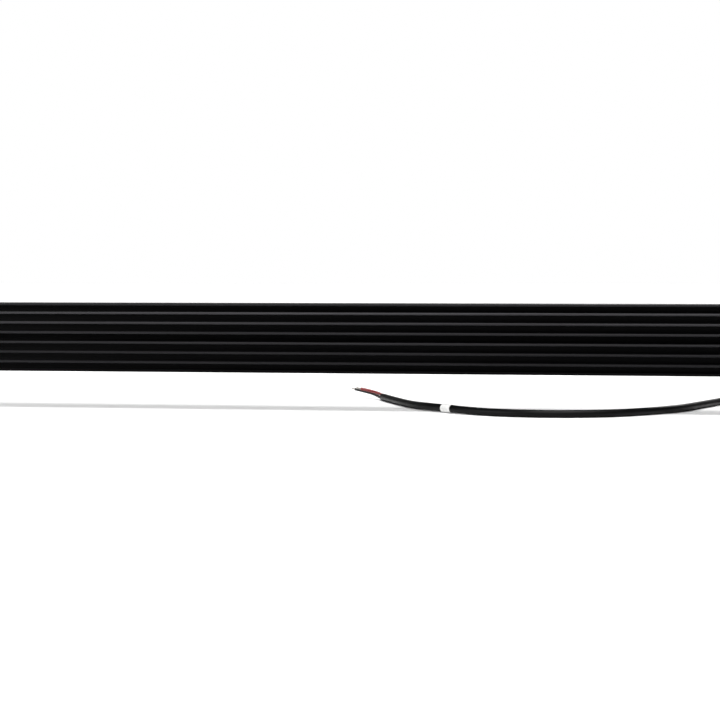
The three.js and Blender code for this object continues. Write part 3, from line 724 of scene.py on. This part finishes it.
class LIGHTBAR_OT_stage(bpy.types.Operator):
    """Floor, camera and soft studio light"""
    bl_idname = "lightbar.stage"
    bl_label = "Stage"

    def execute(self, context):
        scene = context.scene
        self.floor()
        self.camera(scene)
        self.lights(scene)
        self.world(scene)
        scene.view_settings.view_transform = "Standard"
        return {"FINISHED"}

    def floor(self):
        deselect()
        bpy.ops.mesh.primitive_circle_add(vertices=96, radius=30.0, fill_type="NGON")
        floor = settle(bpy.context.object, "floor")
        floor.data.materials.append(studio_floor())

    def camera(self, scene):
        data = bpy.data.cameras.new("camera")
        data.lens = CAMERA_LENS
        data.sensor_width = 36.0
        data.clip_end = 100.0
        camera = bpy.data.objects.new("camera", data)
        scene.collection.objects.link(camera)
        camera.location = CAMERA_PLACE
        level = math.cos(CAMERA_PITCH)
        ahead = Vector((math.sin(CAMERA_YAW) * level, -math.cos(CAMERA_YAW) * level,
                        -math.sin(CAMERA_PITCH)))
        camera.rotation_euler = ahead.to_track_quat("-Z", "Y").to_euler()
        scene.camera = camera

    def shine(self, scene, name, data, place, aim):
        light = bpy.data.objects.new(name, data)
        scene.collection.objects.link(light)
        light.location = place
        light.rotation_euler = (Vector(aim) - Vector(place)).to_track_quat("-Z", "Y").to_euler()
        light.visible_camera = False

    def sky(self, scene, name, place, strength, spread):
        """A distant soft light that falls evenly on the whole floor."""
        data = bpy.data.lights.new(name, "SUN")
        data.energy = strength
        data.angle = math.radians(spread)
        self.shine(scene, name, data, place, (0.0, 0.0, 0.0))

    def softbox(self, scene, name, place, size, power):
        data = bpy.data.lights.new(name, "AREA")
        data.shape = "RECTANGLE"
        data.size, data.size_y = size
        data.energy = power
        self.shine(scene, name, data, place, (0.0, 0.0, 0.08))

    def lights(self, scene):
        self.sky(scene, "overhead", (-0.1, 0.12, 1.0), 2.8, 36.0)
        self.sky(scene, "rear_high", (-0.3, 1.0, 1.2), 0.6, 40.0)
        self.sky(scene, "front_high", (0.3, -1.0, 1.3), 0.75, 14.0)
        self.softbox(scene, "side", (1.7, 1.2, 0.72), (1.6, 0.9), 24.0)
        self.softbox(scene, "rear", (-0.4, 2.9, 2.3), (2.4, 0.5), 45.0)
        self.softbox(scene, "front", (-0.7, -2.4, 1.5), (1.2, 0.6), 20.0)

    def world(self, scene):
        world = bpy.data.worlds.new("studio")
        scene.world = world
        world.use_nodes = True
        nodes, links = world.node_tree.nodes, world.node_tree.links
        seen = nodes["Background"]
        seen.inputs["Color"].default_value = (1.0, 1.0, 1.0, 1.0)
        seen.inputs["Strength"].default_value = 1.0
        glow = nodes.new("ShaderNodeBackground")
        glow.inputs["Color"].default_value = (1.0, 1.0, 1.0, 1.0)
        glow.inputs["Strength"].default_value = 0.16
        rays = nodes.new("ShaderNodeLightPath")
        mix = nodes.new("ShaderNodeMixShader")
        links.new(rays.outputs["Is Camera Ray"], mix.inputs["Fac"])
        links.new(glow.outputs["Background"], mix.inputs[1])
        links.new(seen.outputs["Background"], mix.inputs[2])
        links.new(mix.outputs["Shader"], nodes["World Output"].inputs["Surface"])


# Cord ------------------------------------------------------------------------------------------

class LIGHTBAR_OT_cord(bpy.types.Operator):
    """Supply cord on the ground, with its band, its two cores and their bare ends"""
    bl_idname = "lightbar.cord"
    bl_label = "Cord"

    def execute(self, context):
        sizes = context.scene.lightbar_sizes
        colours = context.scene.lightbar_colours
        route = smooth_route(CORD_ROUTE, 12)
        radius = sizes.cord_diameter / 2
        jacket = drawn_curve("cord_jacket_fine", route, radius, 6)
        jacket.data.materials.append(cord_pvc())
        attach(jacket, "bar")
        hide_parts("cord_jacket")
        band = self.band(route, radius)
        cores = [
            self.core("core_red_fine", RED_ROUTE, sizes.core_radius, core_pvc("red_pvc", colours.core_red),
                      "core_red", "core_red"),
            self.core("core_black_fine", BLACK_ROUTE, sizes.core_radius,
                      core_pvc("black_core_pvc", (0.008, 0.008, 0.009)), "cord_black", "core_black"),
            self.strands("tip_red_fine", RED_ROUTE, "tip_red", sizes.strand_radius, 0.4),
            self.strands("tip_black_fine", BLACK_ROUTE, "tip_black", sizes.strand_radius, -0.3),
        ]
        return {"FINISHED"}

    def band(self, route, radius):
        """A thin film sleeve round the jacket, with rounded edges."""
        middle = Vector(BAND_CENTRE)
        nearest = min(range(len(route)), key=lambda index: (route[index] - middle).length)
        start, end = nearest, nearest
        while (route[start] - route[nearest]).length < BAND_HALF_LENGTH:
            start -= 1
        while (route[end] - route[nearest]).length < BAND_HALF_LENGTH:
            end += 1
        stretch = route[start:end + 1]
        outer = as_mesh(drawn_curve("marker_band_fine", stretch, radius + 0.00045, 8))
        before = stretch[0] + (stretch[0] - stretch[1])
        after = stretch[-1] + (stretch[-1] - stretch[-2])
        longer = [before, *stretch, after]
        inner = as_mesh(drawn_curve("band_bore", longer, radius + 0.00012, 8))
        boolean(outer, inner, "DIFFERENCE")
        round_edges(outer, 0.00008, 2, 50.0)
        smooth(outer, 40.0)
        return fit_to_bar(outer, band_vinyl(), "bar", "white_vinyl", "marker_band")

    def core(self, name, points, radius, material, slot, node):
        piece = as_mesh(drawn_curve(name, smooth_route(points, 8), radius, 5))
        round_edges(piece, 0.00025, 2, 60.0)
        smooth(piece, 40.0)
        return fit_to_bar(piece, material, "bar", slot, node)

    def strands(self, name, points, node, radius, twist):
        """Seven wires, twisted together and slightly spread at their ends."""
        end = Vector(points[-1])
        ahead = (end - Vector(points[-2])).normalized()
        low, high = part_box(node)
        length = min(WIRES_LONGEST, (high - low).length)
        side = ahead.cross(Vector((0.0, 0.0, 1.0))).normalized()
        rise = side.cross(ahead).normalized()
        wires = []
        for wire in range(WIRES):
            route = []
            for step in range(WIRE_STATIONS):
                share = step / (WIRE_STATIONS - 1)
                spread = 0.0 if wire == 0 else radius * (2.02 + 0.7 * share ** 2)
                angle = wire * math.pi / 3 + twist * 4.0 * share
                reach = (length - WIRE_STAGGER * (wire % 3)) * share - WIRES_INSIDE
                offset = side * math.cos(angle) * spread + rise * math.sin(angle) * spread
                route.append(end + ahead * reach + offset)
            wires.append(as_mesh(drawn_curve(f"wire_{wire}", route, radius, 2)))
        piece = join(wires, name)
        smooth(piece, 50.0)
        return fit_to_bar(piece, tinned_strands(), "bar", "tinned_copper", node)


# Housing, lens and seals -------------------------------------------------------------------------

class LIGHTBAR_OT_housing(bpy.types.Operator):
    """Finned extrusion with every long edge rounded"""
    bl_idname = "lightbar.housing"
    bl_label = "Housing"

    def execute(self, context):
        piece = merged_copy("housing", "housing_fine")
        round_edges(piece, context.scene.lightbar_sizes.fin_round, 2, 20.0)
        smooth(piece, 30.0)
        fit_to_bar(piece, anodised_black(), "bar", "black_aluminium", "housing")
        return {"FINISHED"}


class LIGHTBAR_OT_lens(bpy.types.Operator):
    """Clear lens with polished edges, and the two seal strips behind it"""
    bl_idname = "lightbar.lens"
    bl_label = "Lens"

    def execute(self, context):
        lens = block("lens_fine", *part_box("lens"))
        round_edges(lens, 0.0004, 3)
        smooth(lens, 30.0)
        lens.visible_shadow = False
        fit_to_bar(lens, lens_sheet(), "bar", "clear_polycarbonate", "lens")
        for edge in ("top", "bottom"):
            strip = block(f"lens_seal_{edge}_fine", *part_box(f"lens_seal_{edge}"))
            round_edges(strip, 0.00035, 3)
            smooth(strip, 30.0)
            fit_to_bar(strip, seal_rubber(), "bar", "black_rubber", f"lens_seal_{edge}")
        return {"FINISHED"}


# Optics ----------------------------------------------------------------------------------------

class LIGHTBAR_OT_reflectors(bpy.types.Operator):
    """Chromed reflector modules: one parabolic cell, copied along two rows"""
    bl_idname = "lightbar.reflectors"
    bl_label = "Reflectors"

    def execute(self, context):
        sizes = context.scene.lightbar_sizes
        low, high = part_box("reflector_1")
        pitch = (high.x - low.x) / CELLS
        cell = self.cell(sizes, low, high, pitch)
        cells = [cell]
        for index in range(1, CELLS):
            cells.append(copy_moved(cell, f"cell_{index}", (pitch * index, 0.0, 0.0)))
        row = join(cells, "row")
        other = copy_moved(row, "other_row", (0.0, 0.0, 2 * ROW_OFFSET))
        module = join([row, other], "reflector_1_fine")
        self.thicken(module)
        material = vacuum_chrome()
        for index in range(1, MODULES):
            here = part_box(f"reflector_{index + 1}")[0].x
            twin = copy_moved(module, f"reflector_{index + 1}_fine", (here - low.x, 0.0, 0.0))
            fit_to_bar(twin, material, "bar", "chromed_plastic", f"reflector_{index + 1}")
        fit_to_bar(module, material, "bar", "chromed_plastic", "reflector_1")
        return {"FINISHED"}

    def cell(self, sizes, low, high, pitch):
        """One cup and its square of face, in the lower row at the module's start."""
        centre = Vector((low.x + pitch / 2, high.y, BAR_MIDDLE_Z - ROW_OFFSET))
        depth = high.y - low.y
        focus = (sizes.cup_front ** 2 - sizes.cup_back ** 2) / depth
        deselect()
        bpy.ops.mesh.primitive_circle_add(
            vertices=24, radius=sizes.cup_back, location=centre, rotation=(math.pi / 2, 0.0, 0.0))
        cell = settle(bpy.context.object, "cell")
        bpy.ops.object.mode_set(mode="EDIT")
        bpy.ops.mesh.select_all(action="SELECT")
        radius = sizes.cup_back
        rings = 6
        for ring in range(1, rings + 1):
            share = (ring / rings) ** 1.4
            wider = math.sqrt(sizes.cup_back ** 2 + focus * depth * share)
            step = depth * (share - ((ring - 1) / rings) ** 1.4)
            bpy.ops.mesh.extrude_edges_move(TRANSFORM_OT_translate={"value": (0.0, -step, 0.0)})
            factor = wider / radius
            bpy.ops.transform.resize(value=(factor, 1.0, factor),
                                     center_override=(centre.x, centre.y - depth * share, centre.z))
            radius = wider
        bpy.ops.mesh.extrude_edges_move(TRANSFORM_OT_translate={"value": (0.0, 0.0, 0.0)})
        bpy.ops.transform.resize(value=(2.0, 1.0, 2.0),
                                 center_override=(centre.x, low.y, centre.z))
        half_height = (high.z - low.z) / 2
        for point, normal in (
            ((centre.x - pitch / 2, 0, 0), (-1, 0, 0)),
            ((centre.x + pitch / 2, 0, 0), (1, 0, 0)),
            ((0, 0, BAR_MIDDLE_Z - half_height), (0, 0, -1)),
            ((0, 0, BAR_MIDDLE_Z), (0, 0, 1)),
        ):
            bpy.ops.mesh.select_all(action="SELECT")
            bpy.ops.mesh.bisect(plane_co=point, plane_no=normal, clear_outer=True)
        object_mode()
        return cell

    def thicken(self, module):
        tidy_normals(module)
        face = max(module.data.polygons, key=lambda polygon: abs(polygon.normal.y) * polygon.area)
        if face.normal.y > 0:
            bpy.ops.object.mode_set(mode="EDIT")
            bpy.ops.mesh.select_all(action="SELECT")
            bpy.ops.mesh.flip_normals()
            object_mode()
        shell = module.modifiers.new("shell", "SOLIDIFY")
        shell.thickness = REFLECTOR_WALL
        shell.offset = -1.0
        apply_modifier(module, shell)
        smooth(module, 40.0)


class LIGHTBAR_OT_led_boards(bpy.types.Operator):
    """LED boards: the plate, and on each cell's centre a ceramic LED with its dome"""
    bl_idname = "lightbar.led_boards"
    bl_label = "LED boards"

    def execute(self, context):
        low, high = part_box("led_board_1")
        led_top = low.y
        board_front = high.y - BOARD_THICKNESS
        pitch = (high.x - low.x) / CELLS
        first = Vector((low.x + pitch / 2, board_front, BAR_MIDDLE_Z - ROW_OFFSET))
        led = self.led(first, led_top)
        leds = [led]
        for row in range(2):
            for cell in range(CELLS):
                if row or cell:
                    leds.append(copy_moved(led, f"led_{row}_{cell}",
                                           (pitch * cell, 0.0, 2 * ROW_OFFSET * row)))
        plate = block("plate", (low.x, board_front, low.z), high)
        round_edges(plate, 0.0002, 2)
        plate.data.materials.append(board_white())
        board = join([plate, *leds], "led_board_1_fine")
        smooth(board, 40.0)
        for index in range(1, MODULES):
            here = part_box(f"led_board_{index + 1}")[0].x
            twin = copy_moved(board, f"led_board_{index + 1}_fine", (here - low.x, 0.0, 0.0))
            fit_to_bar(twin, None, "bar", "white_board", f"led_board_{index + 1}")
        fit_to_bar(board, None, "bar", "white_board", "led_board_1")
        return {"FINISHED"}

    def led(self, place, top):
        """A ceramic square with a yellow phosphor dome on it."""
        half = LED_HALF_WIDTH
        body = block("led", (place.x - half, place.y - LED_HEIGHT, place.z - half),
                     (place.x + half, place.y + 0.0001, place.z + half))
        round_edges(body, 0.00015, 1)
        body.data.materials.append(led_ceramic())
        radius = DOME_RADIUS
        deselect()
        bpy.ops.mesh.primitive_uv_sphere_add(
            segments=12, ring_count=6, radius=radius,
            location=(place.x, place.y - LED_HEIGHT, place.z),
            rotation=(math.pi / 2, 0.0, 0.0))
        dome = settle(bpy.context.object, "dome")
        bpy.ops.object.mode_set(mode="EDIT")
        bpy.ops.mesh.select_all(action="SELECT")
        bpy.ops.mesh.bisect(plane_co=(0.0, place.y - 0.0005, 0.0), plane_no=(0.0, 1.0, 0.0),
                            clear_outer=True, use_fill=True)
        bpy.ops.mesh.select_all(action="SELECT")
        flat = (place.y - LED_HEIGHT - top) / radius
        bpy.ops.transform.resize(value=(1.0, flat, 1.0),
                                 center_override=(place.x, place.y - LED_HEIGHT, place.z))
        object_mode()
        dome.data.materials.append(phosphor_yellow())
        return join([body, dome], "led")


class LIGHTBAR_OT_drivers(bpy.types.Operator):
    """Driver boards and the leads to them, inside the housing"""
    bl_idname = "lightbar.drivers"
    bl_label = "Drivers"

    def execute(self, context):
        colours = context.scene.lightbar_colours
        for which in ("upper", "lower"):
            board = merged_copy(f"driver_board_{which}", f"driver_board_{which}_fine")
            round_edges(board, 0.0003, 2)
            smooth(board, 30.0)
            fit_to_bar(board, board_green(), "bar", "green_board", f"driver_board_{which}")
        for node, material, slot in (
            ("lead_red", core_pvc("red_pvc", colours.core_red), "core_red"),
            ("lead_black", core_pvc("black_core_pvc", (0.008, 0.008, 0.009)), "cord_black"),
        ):
            lead = merged_copy(node, f"{node}_fine")
            round_edges(lead, 0.0003, 2, 60.0)
            smooth(lead, 60.0)
            fit_to_bar(lead, material, "bar", slot, node)
        return {"FINISHED"}


# Ends ------------------------------------------------------------------------------------------

class LIGHTBAR_OT_end_caps(bpy.types.Operator):
    """Cast end caps, their gaskets and the socket screws that hold them"""
    bl_idname = "lightbar.end_caps"
    bl_label = "End caps"

    def execute(self, context):
        sizes = context.scene.lightbar_sizes
        for end in ENDS:
            cap = merged_copy(f"end_cap_{end}", f"end_cap_{end}_fine")
            round_edges(cap, sizes.edge_round, 3, 25.0)
            smooth(cap, 35.0)
            fit_to_bar(cap, powder_coat(), "bar", "black_aluminium", f"end_cap_{end}")
            gasket = merged_copy(f"end_gasket_{end}", f"end_gasket_{end}_fine")
            round_edges(gasket, 0.0003, 2, 40.0)
            smooth(gasket, 35.0)
            fit_to_bar(gasket, seal_rubber(), "bar", "black_rubber", f"end_gasket_{end}")
            for index in range(1, 5):
                node = f"cap_screw_{end}_{index}"
                screw = socket_screw(node, ENDS[end], *CAP_SCREW)
                fit_to_bar(screw, black_oxide(), "bar", "black_steel", node)
        return {"FINISHED"}


def socket_screw(node, side, head_radius, head_height, shank_radius, key_radius):
    """A cylinder-head screw with a hexagon socket, where its frame node lies."""
    low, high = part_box(node)
    middle = (low + high) / 2
    outer = high.x if side > 0 else low.x
    inner = low.x if side > 0 else high.x
    seat = outer - side * head_height
    head = rod(f"{node}_fine", head_radius, seat, outer, middle.y, middle.z, 48)
    shank = rod("shank", shank_radius, inner, seat + side * head_height / 2, middle.y, middle.z, 32)
    boolean(head, shank, "UNION")
    key = rod("key", key_radius, outer - side * head_height * 0.55, outer + side * 0.001,
              middle.y, middle.z, 6)
    boolean(head, key, "DIFFERENCE")
    round_edges(head, min(0.0005, head_height / 9), 3)
    smooth(head, 35.0)
    return head


class LIGHTBAR_OT_feet(bpy.types.Operator):
    """Bent feet with their lock slots"""
    bl_idname = "lightbar.feet"
    bl_label = "Feet"

    def execute(self, context):
        for end in ENDS:
            foot = merged_copy(f"foot_{end}", f"foot_{end}_fine")
            round_edges(foot, context.scene.lightbar_sizes.edge_round, 3, 28.0)
            smooth(foot, 35.0)
            fit_to_bar(foot, powder_coat(), f"foot_{end}", "black_foot_steel", f"foot_{end}")
        return {"FINISHED"}


class LIGHTBAR_OT_hardware(bpy.types.Operator):
    """Pivot bolts, lock screws and their washers"""
    bl_idname = "lightbar.hardware"
    bl_label = "Hardware"

    def execute(self, context):
        for end, side in ENDS.items():
            bolt = socket_screw(f"pivot_bolt_{end}", side, *PIVOT_BOLT)
            fit_to_bar(bolt, stainless(), "bar", "steel", f"pivot_bolt_{end}")
            lock = socket_screw(f"lock_screw_{end}", side, *LOCK_SCREW)
            fit_to_bar(lock, stainless(), "bar", "steel", f"lock_screw_{end}")
            for kind, bore, material, slot in (
                ("friction_washer", PIVOT_BORE, moulded_nylon(), "black_plastic"),
                ("pivot_washer", PIVOT_BORE, stainless(), "steel"),
                ("lock_washer", LOCK_BORE, stainless(), "steel"),
                ("spring_washer", PIVOT_BORE, stainless(), "steel"),
            ):
                node = f"{kind}_{end}"
                washer = self.washer(node, bore)
                if kind == "spring_washer":
                    self.split(washer, node)
                round_edges(washer, 0.00018, 2)
                smooth(washer, 30.0)
                fit_to_bar(washer, material, "bar", slot, node)
        return {"FINISHED"}

    def washer(self, node, bore):
        low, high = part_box(node)
        middle = (low + high) / 2
        radius = (high.y - low.y) / 2
        washer = rod(f"{node}_fine", radius, low.x, high.x, middle.y, middle.z, 64)
        hole = rod("hole", bore, low.x - 0.001, high.x + 0.001, middle.y, middle.z, 48)
        return boolean(washer, hole, "DIFFERENCE")

    def split(self, washer, node):
        """The slanting cut of a spring washer."""
        low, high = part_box(node)
        middle = (low + high) / 2
        cutter = block("cutter", (low.x - 0.002, middle.y - 0.0005, middle.z),
                       (high.x + 0.002, middle.y + 0.0005, high.z + 0.002))
        make_active(cutter)
        bpy.ops.transform.rotate(value=math.radians(18.0), orient_axis="Z",
                                 center_override=(middle.x, middle.y, middle.z))
        boolean(washer, cutter, "DIFFERENCE")


class LIGHTBAR_OT_gland(bpy.types.Operator):
    """Cord gland at the left end and breather vent at the right end"""
    bl_idname = "lightbar.gland"
    bl_label = "Gland and vent"

    def execute(self, context):
        for node, material, slot, width in (
            ("gland_body", moulded_nylon(), "black_plastic", 0.0004),
            ("gland_nut", moulded_nylon(), "black_plastic", 0.0005),
            ("vent_plug", moulded_nylon(), "black_plastic", 0.0005),
            ("gland_ring", seal_rubber(), "black_rubber", 0.0002),
            ("gland_sleeve", seal_rubber(), "black_rubber", 0.0002),
            ("vent_ring", seal_rubber(), "black_rubber", 0.0002),
        ):
            piece = merged_copy(node, f"{node}_fine")
            round_edges(piece, width, 3, 30.0)
            smooth(piece, 35.0)
            fit_to_bar(piece, material, "bar", slot, node)
        return {"FINISHED"}


# Panel and registration --------------------------------------------------------------------------

STEPS = (
    LIGHTBAR_OT_stage, LIGHTBAR_OT_cord, LIGHTBAR_OT_housing, LIGHTBAR_OT_lens,
    LIGHTBAR_OT_reflectors, LIGHTBAR_OT_led_boards, LIGHTBAR_OT_drivers, LIGHTBAR_OT_end_caps,
    LIGHTBAR_OT_feet, LIGHTBAR_OT_hardware, LIGHTBAR_OT_gland,
)


class LIGHTBAR_PT_panel(bpy.types.Panel):
    """Lists the steps that build the light bar"""
    bl_idname = "LIGHTBAR_PT_panel"
    bl_label = "Light bar"
    bl_space_type = "VIEW_3D"
    bl_region_type = "UI"
    bl_category = "Light bar"

    def draw(self, context):
        for step in STEPS:
            self.layout.operator(step.bl_idname)


CLASSES = (LIGHTBAR_PG_sizes, LIGHTBAR_PG_colours, *STEPS, LIGHTBAR_PT_panel)


def register():
    for cls in CLASSES:
        bpy.utils.register_class(cls)
    bpy.types.Scene.lightbar_sizes = bpy.props.PointerProperty(type=LIGHTBAR_PG_sizes)
    bpy.types.Scene.lightbar_colours = bpy.props.PointerProperty(type=LIGHTBAR_PG_colours)


def unregister():
    del bpy.types.Scene.lightbar_colours
    del bpy.types.Scene.lightbar_sizes
    for cls in reversed(CLASSES):
        bpy.utils.unregister_class(cls)


def main():
    register()
    for step in STEPS:
        group, name = step.bl_idname.split(".")
        getattr(getattr(bpy.ops, group), name)()
    deselect()


if __name__ == "__main__":
    main()
